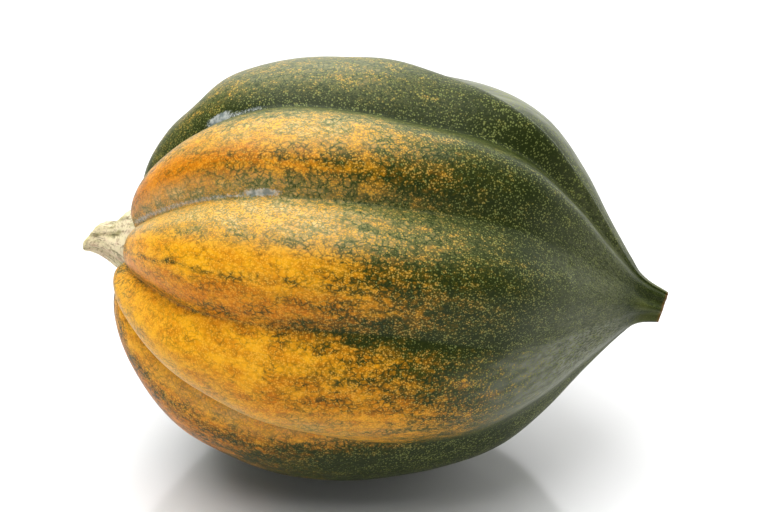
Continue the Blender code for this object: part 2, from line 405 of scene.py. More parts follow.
# %% [markdown]
# ## Reading the patches
#
# Patches that overlap add up as veils do: each turns its share of what the others have left. A
# thin dark vein runs down the middle of the near rib, where the skin stayed green. Its line
# wavers by smooth noise. The windows are remembered, because whole rings share a place.

# %% How far a point lies inside them
SOFT_ALONG, SOFT_ROUND = 0.16, 5.0                               # share of the length, degrees
SCURF_SOFT_ALONG, SCURF_SOFT_UP = 0.02, 0.8                      # share of the length, mm
VEIN_ANGLE, VEIN_CORE, VEIN_WIDTH, VEIN_WAVER = 22.8, 0.2, 1.7, 2.2         # degrees
VEIN_FROM, VEIN_TO, VEIN_SOFT, VEIN_BENDS = 0.02, 0.42, 0.06, 14            # places, and bends in all


@lru_cache(maxsize=None)
def window(x, low, high, soft):
    """1 between low and high, 0 outside, with soft edges."""
    return ease(x, low - soft, low + soft) * (1 - ease(x, high - soft, high + soft))


def over(patches, t, angle):
    """How far a point lies inside the patches, which add up to 1 at most."""
    left = 1.0
    for first, last, low_angle, high_angle, amount in patches:
        inside = window(t, first, last, SOFT_ALONG) * window(angle, low_angle, high_angle, SOFT_ROUND)
        left *= 1 - amount * inside
    return 1 - left


def vein(t, angle):
    """How strongly the dark vein along the near rib shows at a point."""
    middle = VEIN_ANGLE + VEIN_WAVER * noise.noise(Vector((t * VEIN_BENDS, 0, 0)))
    return window(t, VEIN_FROM, VEIN_TO, VEIN_SOFT) * (1 - ease(abs(angle - middle), VEIN_CORE, VEIN_WIDTH))


def scurf_at_point(rib, u, t, distance):
    """How far a point lies inside the scurf along its rib's lower furrow."""
    amounts = [amount * window(t, first, last, SCURF_SOFT_ALONG) * window(distance, low, high, SCURF_SOFT_UP)
               for where, first, last, low, high, amount in SCURF if where == rib and u < 0]
    return max(amounts, default=0.0)


print("the near rib's crest is ripe to", round(over(RIPE, 0.3, 25.0), 2))

# %% [markdown]
# ## Noting it on the skin
#
# The shader has to know all this at each point. It could be painted on an image, but layers on
# the vertices stay with the mesh and have no seam. `skin` is the point's place in millimetres on
# a barrel of the rind, `tone` how ripe it is, how much gold and painted highlight it has and how
# scurfy it is, `site` its place along the fruit, its distance from the furrow and how much deep
# orange and painted shade it has, and the last layer how much grey sheen is painted there. The
# barrel narrows to the ends less than the fruit does, so that patterns are not pinched there.

# %% Store the layers and finish the fruit
BARREL, BARREL_NARROWS = 58.0, 0.4       # its radius in mm; 0 would keep it straight, 1 follow the fruit
VEIN_DROP = 0.22                         # how much ripeness the vein takes away
SEAM = -100.0                            # degrees: angles count from here, which no patch crosses


def finish_mesh(name, bm):
    """Makes the piece's object, shaded smooth, from its bmesh."""
    mesh = bpy.data.meshes.new(name)
    bm.to_mesh(mesh)
    bm.free()
    mesh.shade_smooth()
    piece = bpy.data.objects.new(name, mesh)
    bpy.context.scene.collection.objects.link(piece)
    return piece


skin_layer = fruit.verts.layers.float_vector.new("skin")
tone_layer = fruit.verts.layers.float_vector.new("tone")
site_layer = fruit.verts.layers.float_vector.new("site")
painted_sheen_layer = fruit.verts.layers.float.new("painted_sheen")
for vert, (t, angle, rib, u) in zip(fruit.verts, lies):
    t = min(max(t, 0.0), 1.0)
    radius = crest[round(t * (RINGS - 1))][2]
    barrel = BARREL * (radius / BARREL) ** BARREL_NARROWS
    vert[skin_layer] = Vector((t * crest_length, 0, 0)) + direction(angle) * barrel
    edges = ring_facts[vert[fruit_place]][1] if 0 <= vert[fruit_place] <= 1 else furrow_angles(t)
    half_width = math.radians(edges[rib + 1] - edges[rib]) / 2 * radius
    distance = (1 - abs(u)) * half_width
    turn = round((angle - SEAM) % 360.0 + SEAM, 2)
    ripe = over(RIPE, t, turn) - VEIN_DROP * vein(t, turn)
    vert[tone_layer] = (max(ripe, 0.0), over(GOLD_AND_HIGHLIGHT_PATCHES, t, turn), scurf_at_point(rib, u, t, distance))
    vert[site_layer] = (t, distance, over(DEEP_AND_SHADE_PATCHES, t, turn))
    vert[painted_sheen_layer] = over(PAINTED_SHEEN_PATCHES, t, turn)
body = finish_mesh("ribbed_fruit", fruit)
print("fruit", len(body.data.polygons), "faces")

# %% [markdown]
# ## The stem
#
# The stalk has dried to cork. It is five-angled, waisted, and flares out again into its foot,
# which sits in the hollow. It was broken off at a slant, which leaves a ragged end. It is turned
# as the fruit was, and then carved: five corners, slow waves, splits along it and a fine grit.

# %% Turn and shape the stem
STEM = [   # x, radius in mm
    (-53.8, 9.6), (-57.0, 9.9), (-60.0, 9.9), (-62.4, 9.2), (-64.4, 7.7), (-66.2, 6.2),
    (-68.3, 5.1), (-70.3, 4.8), (-72.1, 4.7),
]
STEM_RINGS, STEM_SEGMENTS, STEM_BARREL = 70, 120, 5.0            # the last in mm
CUT = [(0.94, -0.4), (0.82, -0.8), (0.62, -1.1), (0.35, -1.2), (0.0, -1.2)]     # share of the radius, mm
CARVED, CARVED_CORE = (0.15, 0.6), 3.0                           # soft step, mm
STEM_CORNERS, CORNER_HEIGHT = 5, 0.10                            # share of the radius
WAVE, WAVE_ALONG, WAVE_ROUND = 0.10, 8.0, 1.1                    # share of the radius, mm, waves
FISSURE_DEPTH, FISSURE_ALONG, FISSURE_ROUND = 0.55, 11.0, 2.6    # mm, mm, waves
FISSURE_FROM, FISSURE_RANGE = 0.1, 0.4                           # noise
GRIT, GRIT_SIZE = 0.12, 0.9                                      # mm
SLANT, SLANT_OVER = 32.0, (0.55, 1.0)                            # degrees, soft step
RAGGED_END, SHRED, RAGGED_OVER = 0.7, 1.3, (0.9, 1.0)            # mm, mm, soft step
FOOT_DROP, DROP_IN, DROP_OUT = 0.7, (0.2, 0.5), (0.55, 0.95)     # mm: the flare is fuller below

stalk_rings = smooth_outline(STEM, STEM_RINGS)
cut_x, cut_radius = STEM[-1]
cut = [(2.0 + index, cut_x + sunk, cut_radius * share) for index, (share, sunk) in enumerate(CUT)]
foot = (-1.0, STEM[0][0], 0.0)
stem, stem_place = turned([foot] + stalk_rings + cut, STEM_SEGMENTS)
grain_layer = stem.verts.layers.float_vector.new("skin")
end_layer = stem.verts.layers.float.new("cut_end")
for vert in stem.verts:
    t = min(max(vert[stem_place], 0.0), 1.0)
    angle = math.degrees(math.atan2(vert.co.z, -vert.co.y))
    out = direction(angle)
    vert[grain_layer] = Vector((vert.co.x / MM, 0, 0)) + out * STEM_BARREL
    vert[end_layer] = float(vert[stem_place] > 1.0)
    radius = vert.co.yz.length
    if radius > 0:
        carved = ease(t, *CARVED) * min(radius / (CARVED_CORE * MM), 1.0)
        corner = CORNER_HEIGHT * (math.cos(math.radians(STEM_CORNERS * angle)) - 1) * 0.5
        wave = WAVE * noise.noise(Vector((vert.co.x / (WAVE_ALONG * MM), 0, 0)) + out * WAVE_ROUND)
        fissure = noise.noise(Vector((vert.co.x / (FISSURE_ALONG * MM), 0, 0)) + out * FISSURE_ROUND)
        sunk = (FISSURE_DEPTH * max(0.0, fissure - FISSURE_FROM) / FISSURE_RANGE
                + GRIT * noise.noise(vert.co / (GRIT_SIZE * MM)))
        wavy = 1 + carved * (corner + wave)
        vert.co.yz = vert.co.yz * wavy - vert.co.yz / radius * sunk * carved * MM
    facing = vert.co.dot(direction(FULL_SIDE))
    vert.co.x += ease(t, *SLANT_OVER) * math.tan(math.radians(SLANT)) * facing
    vert.co.x += RAGGED_END * MM * noise.noise(vert.co / (SHRED * MM)) * ease(t, *RAGGED_OVER)
    if facing < 0:
        vert.co -= direction(FULL_SIDE) * FOOT_DROP * MM * ease(t, *DROP_IN) * (1 - ease(t, *DROP_OUT))
stem.transform(tipped)
bmesh.ops.translate(stem, verts=stem.verts, vec=heart)
stalk = finish_mesh("dry_stalk", stem)
print("stem", len(stalk.data.polygons), "faces")

# %% [markdown]
# ## Colours and nodes
#
# The finishes are built from nodes, so that they keep their detail at any distance. Colours are
# written as sRGB hex, the way a paint chart gives them, and turned linear in one place.

# %% Colours, a material and a node helper


def colour(code):
    """Linear RGBA from an sRGB hex colour."""
    parts = [int(code[i:i + 2], 16) / 255 for i in (1, 3, 5)]
    linear = [p / 12.92 if p <= 0.04045 else ((p + 0.055) / 1.055) ** 2.4 for p in parts]
    return (*linear, 1.0)


def material(name):
    """A material with nothing in it yet, and its tree."""
    made = bpy.data.materials.new(name)
    made.use_nodes = True
    made.node_tree.nodes.clear()
    return made, made.node_tree


def add(tree, kind, inputs=(), stops=(), **settings):
    """Adds a node with its settings; an input is a number, a colour, or a node or output to link."""
    node = tree.nodes.new("ShaderNode" + kind)
    for name, value in settings.items():
        setattr(node, name, value)
    if stops:
        elements = node.color_ramp.elements
        for place, code in stops[len(elements):]:
            elements.new(place)
        for element, (place, code) in zip(elements, stops):
            element.position = place
            element.color = colour(code)
    sockets = [socket for socket in node.inputs if socket.enabled]
    for key, value in (inputs.items() if isinstance(inputs, dict) else enumerate(inputs)):
        socket = sockets[key] if isinstance(key, int) else next(s for s in sockets if s.name == key)
        if isinstance(value, bpy.types.Node):
            value = next(output for output in value.outputs if output.enabled)
        if isinstance(value, bpy.types.NodeSocket):
            tree.links.new(value, socket)
        else:
            socket.default_value = value
    return node


print("a mid grey is", [round(c, 3) for c in colour("#808080")])

# %% [markdown]
# ## The rind: where each spot is
#
# A squash's rind is hard and waxy. Its pattern follows the ribs, so it is drawn on the skin's own
# coordinates, in millimetres along the crest line and round it, which were stored on the
# vertices. Most of its patterns are made from the noises below, each at the size of one feature.

# %% Read the skin's layers and make the noises
rind, tree = material("waxy_rind")
skin_at = add(tree, "Attribute", attribute_name="skin").outputs["Vector"]
tone_at = add(tree, "Attribute", attribute_name="tone").outputs["Vector"]
site_at = add(tree, "Attribute", attribute_name="site").outputs["Vector"]
painted_sheen_at = add(tree, "Attribute", attribute_name="painted_sheen").outputs["Fac"]
ripe_at, gold_and_highlight_at, scurf_at = add(tree, "SeparateXYZ", [tone_at]).outputs
place_at, furrow_at, deep_and_shade_at = add(tree, "SeparateXYZ", [site_at]).outputs

# Each noise: the size of its features in mm, how many times longer than wide, its detail. The
# grain and the hairs are finer on a real rind, and are drawn coarser so that they show.
FIELDS = {
    "cloud": (15.0, 2.5, 1.0), "mottle": (3.6, 2.0, 2.0), "streak": (1.9, 9.0, 2.0), "blob": (1.3, 1.3, 1.0),
    "net": (1.3, 1.6, 2.0), "branch": (2.2, 2.4, 3.0), "grain": (0.40, 1.1, 1.0), "mesh": (0.8, 1.6, 2.0),
    "hair": (0.7, 14.0, 2.0), "brush": (2.0, 16.0, 1.0), "flame": (2.6, 2.6, 2.0),
}
APART = 41.0                             # mm
NOISE_LOW, NOISE_HIGH = 0.36, 0.64       # nearly all of a noise lies between these, round its middle, 0.5


def noises_on(tree, surface, kinds, apart, aside=0.0):
    """One noise of each kind, each read that much further along, so that none repeats another."""
    made = {}
    for index, (name, (size, stretch, detail)) in enumerate(kinds.items()):
        stretched = add(tree, "VectorMath", [surface, (1 / stretch, 1.0, 1.0), (apart * index, aside, 0.0)],
                        operation="MULTIPLY_ADD")
        noisy = add(tree, "TexNoise", {"Vector": stretched, "Scale": 1 / size, "Detail": detail})
        made[name] = noisy.outputs["Fac"]
    return made


fields = noises_on(tree, skin_at, FIELDS, APART)
print("noises", list(fields))

# %% [markdown]
# ## The rind: how ripe each spot is
#
# The turn from green to orange is ragged at every scale: clouds, mottling, streaks along the rib
# and blobs. One number can hold all of that, ripeness, so the noises raise and lower it. They
# get the most room where a place is half ripe, because full green and full orange are even.

# %% Ripeness, made ragged
SWINGS = {"cloud": 0.4, "mottle": 0.75, "streak": 0.6, "blob": 1.1}         # each noise's share
ROOM_BETWEEN, ROOM_RIPE, ROOM = 1.4, 0.08, 0.20      # added where half ripe, where ripe, everywhere

swing = 0.0
for name, amount in SWINGS.items():
    so_far = add(tree, "Math", [swing, -amount / 2], operation="ADD")
    swing = add(tree, "Math", [fields[name], amount, so_far], operation="MULTIPLY_ADD")
unripe = add(tree, "Math", [1.0, ripe_at], operation="SUBTRACT")
between = add(tree, "Math", [ripe_at, unripe], operation="MULTIPLY")
least_room = add(tree, "Math", [ripe_at, ROOM_RIPE, ROOM], operation="MULTIPLY_ADD")
room = add(tree, "Math", [between, ROOM_BETWEEN, least_room], operation="MULTIPLY_ADD")
ripeness = add(tree, "Math", [swing, room, ripe_at], operation="MULTIPLY_ADD")
print("the noises swing by", sum(SWINGS.values()) / 2, "either way")

# %% [markdown]
# ## The rind: the green net
# Some of the skin stays green longest. Thin lines do, where a noise crosses its middle value.
# Where a place is half ripe, only islands of orange a millimetre or two across have turned. A
# Voronoi texture gives them, because its cells fit together as the islands do. It is warped and
# drawn out along the rib, or it would look like scales, and the green shores between its cells
# come and go. Close to each furrow's line the skin is drawn greener and darker.

# %% Lower the ripeness along lines, shores and furrows
LINES = {"net": (0.07, 0.06), "branch": (0.06, 0.12)}       # half width in noise, how far it lowers
ISLAND, ISLAND_STRETCH, ISLAND_WARP = 1.5, 1.4, 2.4         # mm, times, mm
SHORE, SHORE_DROP = 0.22, 0.30                              # share of an island, ripeness
SHORE_BETWEEN, SHORE_ALWAYS = 2.2, 0.5                      # its strength where half ripe, and everywhere
SHORE_MOST, SHORE_LEAST = 1.4, 0.3                          # how much the mottling varies it
MOST_UNTIL, LEAST_AFTER = 0.38, 0.62                        # noise
CREASE_FROM, CREASE_TO, CREASE_DROP = 0.1, 0.8, 0.16        # mm from the furrow's line, ripeness


def thin_line(field, core, edge, strength):
    """That strength where a noise crosses its middle value, fading to 0 from core to edge off it."""
    above = add(tree, "Math", [field, 0.5], operation="SUBTRACT")
    off = add(tree, "Math", [above], operation="ABSOLUTE")
    return add(tree, "MapRange", {"Value": off, "From Min": core, "From Max": edge, "To Min": strength,
                                  "To Max": 0.0}, interpolation_type="SMOOTHSTEP")


for name, (half_width, drop) in LINES.items():
    line = thin_line(fields[name], 0.0, half_width, -drop)
    ripeness = add(tree, "Math", [ripeness, line], operation="ADD")
wander = add(tree, "TexNoise", {"Vector": skin_at, "Scale": 1 / ISLAND_WARP, "Detail": 2.0}).outputs["Color"]
warped = add(tree, "VectorMath", [wander, (ISLAND_WARP,) * 3, skin_at], operation="MULTIPLY_ADD")
drawn_out = add(tree, "VectorMath", [warped, (1 / ISLAND_STRETCH, 1.0, 1.0)], operation="MULTIPLY")
islands = add(tree, "TexVoronoi", {"Vector": drawn_out, "Scale": 1 / ISLAND}, feature="DISTANCE_TO_EDGE")
shore = add(tree, "MapRange", {"Value": islands, "From Min": 0.0, "From Max": SHORE,
                               "To Min": -SHORE_DROP, "To Max": 0.0}, interpolation_type="SMOOTHSTEP")
half_ripe = add(tree, "Math", [between, SHORE_BETWEEN, SHORE_ALWAYS], operation="MULTIPLY_ADD")
come_and_go = add(tree, "MapRange", {"Value": fields["mottle"], "From Min": MOST_UNTIL,
                                     "From Max": LEAST_AFTER, "To Min": SHORE_MOST, "To Max": SHORE_LEAST})
strength = add(tree, "Math", [half_ripe, come_and_go], operation="MULTIPLY")
ripeness = add(tree, "Math", [shore, strength, ripeness], operation="MULTIPLY_ADD")
# Greener and darker close to each furrow's line.
crease = add(tree, "MapRange", {"Value": furrow_at, "From Min": CREASE_FROM, "From Max": CREASE_TO,
                                "To Min": -CREASE_DROP, "To Max": 0.0}, interpolation_type="SMOOTHSTEP")
ripeness = add(tree, "Math", [ripeness, crease], operation="ADD", use_clamp=True)
print("lines in", list(LINES), "and islands of", ISLAND, "mm")

# %% [markdown]
# ## The rind: ground colours
#
# Green rind holds chlorophyll over a yellow ground, so it turns by way of olive and brown. Some
# of it turns a deeper orange, in flames, which also carries painted shade on the lower flanks,
# and some a pale gold with a sage green mesh, which also carries a painted highlight on the
# upward flanks. Each of those is one colour ramp read by ripeness, which keeps its steps in order.

# %% Ground colours
FLAME_FROM, FLAME_TO = -0.15, 0.65       # how much deeper a place is than its patch says
PALEST, LEAST_PALE, LEAST_FROM = 1.0, 0.45, 0.60         # the gold and its painted highlight come and go with the mottling
MESH_CORE, MESH_EDGE, MESH = 0.02, 0.10, 0.7                     # noise, noise, strongest

yellow = add(tree, "ValToRGB", [ripeness], stops=[
    (0.0, "#27310d"), (0.18, "#3a400e"), (0.34, "#4e440b"), (0.48, "#775b0e"), (0.62, "#a87810"),
    (0.76, "#d39312"), (0.9, "#eba714"), (1.0, "#f6b11a")])
# The deep ramp: a darker, redder orange, partly the rind's own and partly painted shade on the lower flanks
# and the low rib.
deep = add(tree, "ValToRGB", [ripeness], stops=[
    (0.0, "#27310d"), (0.18, "#3a3c0c"), (0.34, "#4c3f0b"), (0.48, "#6f4c0b"), (0.62, "#965f09"),
    (0.76, "#bb7007"), (0.9, "#cf7b05"), (1.0, "#db8606")])
# A pale, greyish gold: partly the rind's own and partly painted highlight where light falls on the upward
# flanks.
gold_and_highlight = add(tree, "ValToRGB", [ripeness], stops=[
    (0.0, "#37431b"), (0.25, "#696f40"), (0.5, "#a69a62"), (0.7, "#cfb172"), (0.9, "#e6c67e"),
    (1.0, "#edcd88")])
flame = add(tree, "MapRange", {"Value": fields["flame"], "From Min": NOISE_LOW, "From Max": NOISE_HIGH,
                               "To Min": FLAME_FROM, "To Max": FLAME_TO})
redder = add(tree, "Math", [deep_and_shade_at, flame], operation="ADD", use_clamp=True)
ground = add(tree, "Mix", {"Factor": redder, "A": yellow, "B": deep}, data_type="RGBA")
patchy = add(tree, "MapRange", {"Value": fields["mottle"], "From Min": NOISE_LOW, "From Max": LEAST_FROM,
                                "To Min": PALEST, "To Max": LEAST_PALE})
# Here the gold and its painted highlight are laid on.
paled = add(tree, "Math", [gold_and_highlight_at, patchy], operation="MULTIPLY")
with_gold_and_highlight = add(tree, "Mix", {"Factor": paled, "A": ground, "B": gold_and_highlight}, data_type="RGBA")
mesh_line = thin_line(fields["mesh"], MESH_CORE, MESH_EDGE, MESH)
sage = add(tree, "Math", [mesh_line, gold_and_highlight_at], operation="MULTIPLY")
base = add(tree, "Mix", {"Factor": sage, "A": with_gold_and_highlight, "B": colour("#757642")}, data_type="RGBA")
print("fully ripe is", [round(c, 2) for c in colour("#f6b11a")[:3]], "in linear light")

# %% [markdown]
# ## The rind: bloom and painted sheen
#
# Towards the tip the rind carries a dull, grey-green bloom with fine dark hairs along the ribs,
# and a paler grey is painted on a few places as sheen, a grazing reflection with a little wax
# bloom in it. Both look brushed on along the rib, so one long noise breaks both up. A second
# shader for the bloom would be dearer, and no duller to the eye.

# %% Bloom and painted sheen
BLOOM_FROM, BLOOM_FULL, STUB_AT = 0.70, 0.90, 0.96               # places
BLOOM, PAINTED_SHEEN_MOST, HAIRS = 0.5, 0.8, 0.75                              # the most of each
HAIR_FROM, HAIR_FULL = 0.42, 0.60                                # noise
THINLY, THICKLY = 0.7, 1.25                                      # how much the brushing varies them

near_tip = add(tree, "MapRange", {"Value": place_at, "From Min": BLOOM_FROM, "From Max": BLOOM_FULL},
               interpolation_type="SMOOTHSTEP")
before_stub = add(tree, "MapRange", {"Value": place_at, "From Min": BLOOM_FULL, "From Max": STUB_AT,
                                     "To Min": BLOOM, "To Max": 0.0}, interpolation_type="SMOOTHSTEP")
brushed = add(tree, "MapRange", {"Value": fields["brush"], "From Min": NOISE_LOW, "From Max": NOISE_HIGH,
                                 "To Min": THINLY, "To Max": THICKLY})
even_bloom = add(tree, "Math", [near_tip, before_stub], operation="MULTIPLY")
bloom = add(tree, "Math", [even_bloom, brushed], operation="MULTIPLY")
bloomed = add(tree, "Mix", {"Factor": bloom, "A": base, "B": colour("#6f7350")}, data_type="RGBA")
# Painted sheen: a pale grey laid into the colour where a grazing reflection falls, with a little wax bloom.
most_painted_sheen = add(tree, "Math", [brushed, PAINTED_SHEEN_MOST], operation="MULTIPLY")
painted_sheen = add(tree, "Math", [painted_sheen_at, most_painted_sheen], operation="MULTIPLY", use_clamp=True)
with_painted_sheen = add(tree, "Mix", {"Factor": painted_sheen, "A": bloomed, "B": colour("#9ea090")}, data_type="RGBA")
hairs = add(tree, "MapRange", {"Value": fields["hair"], "From Min": HAIR_FROM, "From Max": HAIR_FULL,
                               "To Min": 0.0, "To Max": HAIRS})
hairs_there = add(tree, "Math", [hairs, near_tip], operation="MULTIPLY")
streaked = add(tree, "Mix", {"Factor": hairs_there, "A": with_painted_sheen, "B": colour("#2b3412")}, data_type="RGBA")
print("bloom from", round(BLOOM_FROM * crest_length), "mm along")

# %% [markdown]
# ## The rind: the stub's colours
#
# The dried stub is banded olive and dark green, and its rim and the scar inside it have dried
# brown. It is skin like the rest, so these are two more colours on the same material.

# %% Stub
STUB_FROM, STUB_FULL = 0.945, 0.97                               # places
BAND_FROM, BAND_FULL, BANDS = 0.46, 0.56, 0.6                    # noise, noise, strongest
RIM_FROM, BROWN = 0.996, 0.7                                     # place, strongest

stub = add(tree, "MapRange", {"Value": place_at, "From Min": STUB_FROM, "From Max": STUB_FULL})
banded = add(tree, "MapRange", {"Value": fields["cloud"], "From Min": BAND_FROM, "From Max": BAND_FULL,
                                "To Min": 0.0, "To Max": BANDS})
bands = add(tree, "Math", [stub, banded], operation="MULTIPLY")
olive = add(tree, "Mix", {"Factor": bands, "A": streaked, "B": colour("#565c2a")}, data_type="RGBA")
rim = add(tree, "MapRange", {"Value": place_at, "From Min": RIM_FROM, "From Max": 1.0, "To Max": BROWN})
stubbed = add(tree, "Mix", {"Factor": rim, "A": olive, "B": colour("#8c5a24")}, data_type="RGBA")
print("the brown starts", round((1 - RIM_FROM) * crest_length, 1), "mm before the scar")

# %% [markdown]
# ## The rind: specks
#
# The whole rind is peppered with pale specks up to half a millimetre wide, which are its
# breathing pores. A Voronoi texture scatters them evenly but not in rows, and each cell's own
# random colour gives its speck a size of its own. They show most on the green.

# %% Specks
SPECK_SPACING, SPECK_STRETCH = 0.5, 1.15                         # mm, times
SPECK_LEAST, SPECK_MOST, SPECK_SWELL = 0.08, 0.46, 0.10          # radius as a share of the spacing
MOTTLED, RAGGED = 0.5, 0.8               # how much the mottling and the grain change the radius
EDGE_OUT, EDGE_IN = -0.18, 0.22          # a soft edge, because the wax runs over it
LEFT_ON_RIPE, TAKEN_ON_DEEP_AND_SHADE, LEFT_AT_TIP = 0.7, 0.6, 0.5         # of how strongly they show
RIPE_FROM, RIPE_FULL, TIP_FROM = 0.55, 0.95, 0.86                # ripeness, ripeness, place

speck_skin = add(tree, "VectorMath", [skin_at, (1 / SPECK_STRETCH, 1.0, 1.0)], operation="MULTIPLY")
cells = add(tree, "TexVoronoi", {"Vector": speck_skin, "Scale": 1 / SPECK_SPACING})
own = add(tree, "SeparateXYZ", [cells.outputs["Color"]]).outputs["X"]
mottled = add(tree, "Math", [fields["mottle"], MOTTLED, SPECK_LEAST - MOTTLED / 2], operation="MULTIPLY_ADD")
swell = add(tree, "Math", [ripeness, SPECK_SWELL, mottled], operation="MULTIPLY_ADD")
radius = add(tree, "Math", [own, SPECK_MOST - SPECK_LEAST, swell], operation="MULTIPLY_ADD")
depth = add(tree, "Math", [radius, cells.outputs["Distance"]], operation="SUBTRACT")
centred = add(tree, "Math", [depth, -RAGGED / 2], operation="ADD")
ragged = add(tree, "Math", [fields["grain"], RAGGED, centred], operation="MULTIPLY_ADD")
speck = add(tree, "MapRange", {"Value": ragged, "From Min": EDGE_OUT, "From Max": EDGE_IN},
            interpolation_type="SMOOTHSTEP")
on_ripe = add(tree, "MapRange", {"Value": ripeness, "From Min": RIPE_FROM, "From Max": RIPE_FULL,
                                 "To Min": 1.0, "To Max": LEFT_ON_RIPE})
on_deep_and_shade = add(tree, "Math", [deep_and_shade_at, -TAKEN_ON_DEEP_AND_SHADE, 1.0], operation="MULTIPLY_ADD")
at_tip = add(tree, "MapRange", {"Value": place_at, "From Min": TIP_FROM, "From Max": STUB_AT,
                                "To Min": 1.0, "To Max": LEFT_AT_TIP})
for faded in (on_ripe, on_deep_and_shade, at_tip):
    speck = add(tree, "Math", [speck, faded], operation="MULTIPLY")
speck_colour = add(tree, "ValToRGB", [ripeness], stops=[
    (0.0, "#7d8648"), (0.15, "#a09448"), (0.34, "#c09c48"), (0.52, "#d8a53c"), (0.72, "#ecb038"),
    (0.9, "#f8ba3c"), (1.0, "#fdc038")])
specked = add(tree, "Mix", {"Factor": speck, "A": stubbed, "B": speck_colour}, data_type="RGBA")
print("the widest specks are", round(2 * SPECK_MOST * SPECK_SPACING, 2), "mm across")

# %% [markdown]
# ## The rind: scurf, and the finish
#
# Where two full ribs pressed together the skin has corked over to a grey-white scurf. The rest
# is waxed, which gives the eye a soft, broad gloss with no sharp image in it: a roughness of
# 0.4. Plant wax has an IOR of about 1.45, but this one is dulled by dust and bloom, so it is
# matched lower, at 1.25. Fine pebbling under the wax breaks the gloss up. It is far too shallow
# to see from the side, so bump is enough for it.

# %% Scurf and finish
SCURF_RAGGED, SCURF_MOST = 0.9, 0.85                             # share of the edge, strongest
SCURF_OUT, SCURF_IN = 0.30, 0.72                                 # where its edge starts and is full
PEBBLES, PEBBLES_AT_TIP, PEBBLE_DEPTH = 0.45, 0.1, 0.3           # share, share added, mm
WAX_ROUGHNESS, WAX_IOR = 0.4, 1.25

scurf_edge = add(tree, "Math", [scurf_at, -SCURF_RAGGED / 2], operation="ADD")
rough_edge = add(tree, "Math", [fields["grain"], SCURF_RAGGED, scurf_edge], operation="MULTIPLY_ADD")
scurf = add(tree, "MapRange", {"Value": rough_edge, "From Min": SCURF_OUT, "From Max": SCURF_IN,
                               "To Max": SCURF_MOST}, interpolation_type="SMOOTHSTEP")
scurf_colour = add(tree, "ValToRGB", [fields["blob"]], stops=[
    (0.38, "#84908f"), (0.5, "#a8aeaa"), (0.62, "#ccd0cb")])
scurfed = add(tree, "Mix", {"Factor": scurf, "A": specked, "B": scurf_colour}, data_type="RGBA")
pebble_share = add(tree, "Math", [near_tip, PEBBLES_AT_TIP, PEBBLES], operation="MULTIPLY_ADD")
pebbled = add(tree, "Math", [fields["blob"], pebble_share], operation="MULTIPLY")
relief = add(tree, "Bump", {"Height": pebbled, "Strength": 1.0, "Distance": PEBBLE_DEPTH * MM})
waxy = add(tree, "BsdfPrincipled", {"Base Color": scurfed, "Roughness": WAX_ROUGHNESS, "IOR": WAX_IOR,
                                    "Normal": relief})
add(tree, "OutputMaterial", {"Surface": waxy})
body.data.materials.append(rind)
print("rind has", len(tree.nodes), "nodes")

# %% [markdown]
# ## The cork stem
#
# A squash stalk dries to a hard, pale cork. It splits lengthwise as it shrinks, and dirt and
# traces of green stay in the splits. The splits, the freckles and the stains are noises
# stretched along the stalk. Cork is matt and gives the eye no gloss, so its roughness is 0.8.

# %% The cork
SPLITS, FRECKLES, CUT_PALER = 0.8, 0.6, 0.6                      # the most of each
SPLIT_FROM, SPLIT_FULL = 0.53, 0.68                              # noise
FRECKLE_FROM, FRECKLE_FULL = 0.50, 0.64                          # noise
CORK_ROUGHNESS, CORK_BUMP, CORK_BUMP_DEPTH = 0.8, 0.5, 0.2       # the last in mm
CORK_APART, CORK_ASIDE = 23.0, 7.0                               # mm: where its noises are read
CORK_FIELDS = {"split": (0.9, 4.0, 3.0), "stain": (2.4, 2.0, 2.0), "freckle": (0.45, 1.2, 2.0)}

cork, tree = material("dry_cork")
grain_at = add(tree, "Attribute", attribute_name="skin").outputs["Vector"]
end_at = add(tree, "Attribute", attribute_name="cut_end").outputs["Fac"]
cork_fields = noises_on(tree, grain_at, CORK_FIELDS, CORK_APART, CORK_ASIDE)
aged = add(tree, "ValToRGB", [cork_fields["stain"]], stops=[
    (0.34, "#b5ad7c"), (0.45, "#dfd3a9"), (0.56, "#e6d7b2"), (0.68, "#cfb294")])
freckle = add(tree, "MapRange", {"Value": cork_fields["freckle"], "From Min": FRECKLE_FROM,
                                 "From Max": FRECKLE_FULL, "To Min": 0.0, "To Max": FRECKLES})
freckled = add(tree, "Mix", {"Factor": freckle, "A": aged, "B": colour("#8f7558")}, data_type="RGBA")
split = add(tree, "MapRange", {"Value": cork_fields["split"], "From Min": SPLIT_FROM, "From Max": SPLIT_FULL,
                               "To Min": 0.0, "To Max": SPLITS}, interpolation_type="SMOOTHSTEP")
split_cork = add(tree, "Mix", {"Factor": split, "A": freckled, "B": colour("#5c5a38")}, data_type="RGBA")
paler = add(tree, "Math", [end_at, CUT_PALER], operation="MULTIPLY")
ended = add(tree, "Mix", {"Factor": paler, "A": split_cork, "B": colour("#c9bd84")}, data_type="RGBA")
pitted = add(tree, "Bump", {"Height": cork_fields["freckle"], "Strength": CORK_BUMP,
                            "Distance": CORK_BUMP_DEPTH * MM})
dry = add(tree, "BsdfPrincipled", {"Base Color": ended, "Roughness": CORK_ROUGHNESS, "Normal": pitted})
add(tree, "OutputMaterial", {"Surface": dry})
stalk.data.materials.append(cork)
print("cork has", len(tree.nodes), "nodes")

# %% [markdown]
# ## The floor
#
# The squash lies on a sheet of white acrylic. The sheet is polished, so it holds a faint mirror
# image that ties the squash to the surface. One large face is enough for it. Acrylic has an IOR
# of 1.49, and 1.8 gives the mirror image its strength here.

# %% Floor
FLOOR_HALF = 0.9                         # metres
ACRYLIC_ROUGHNESS, ACRYLIC_IOR = 0.12, 1.8

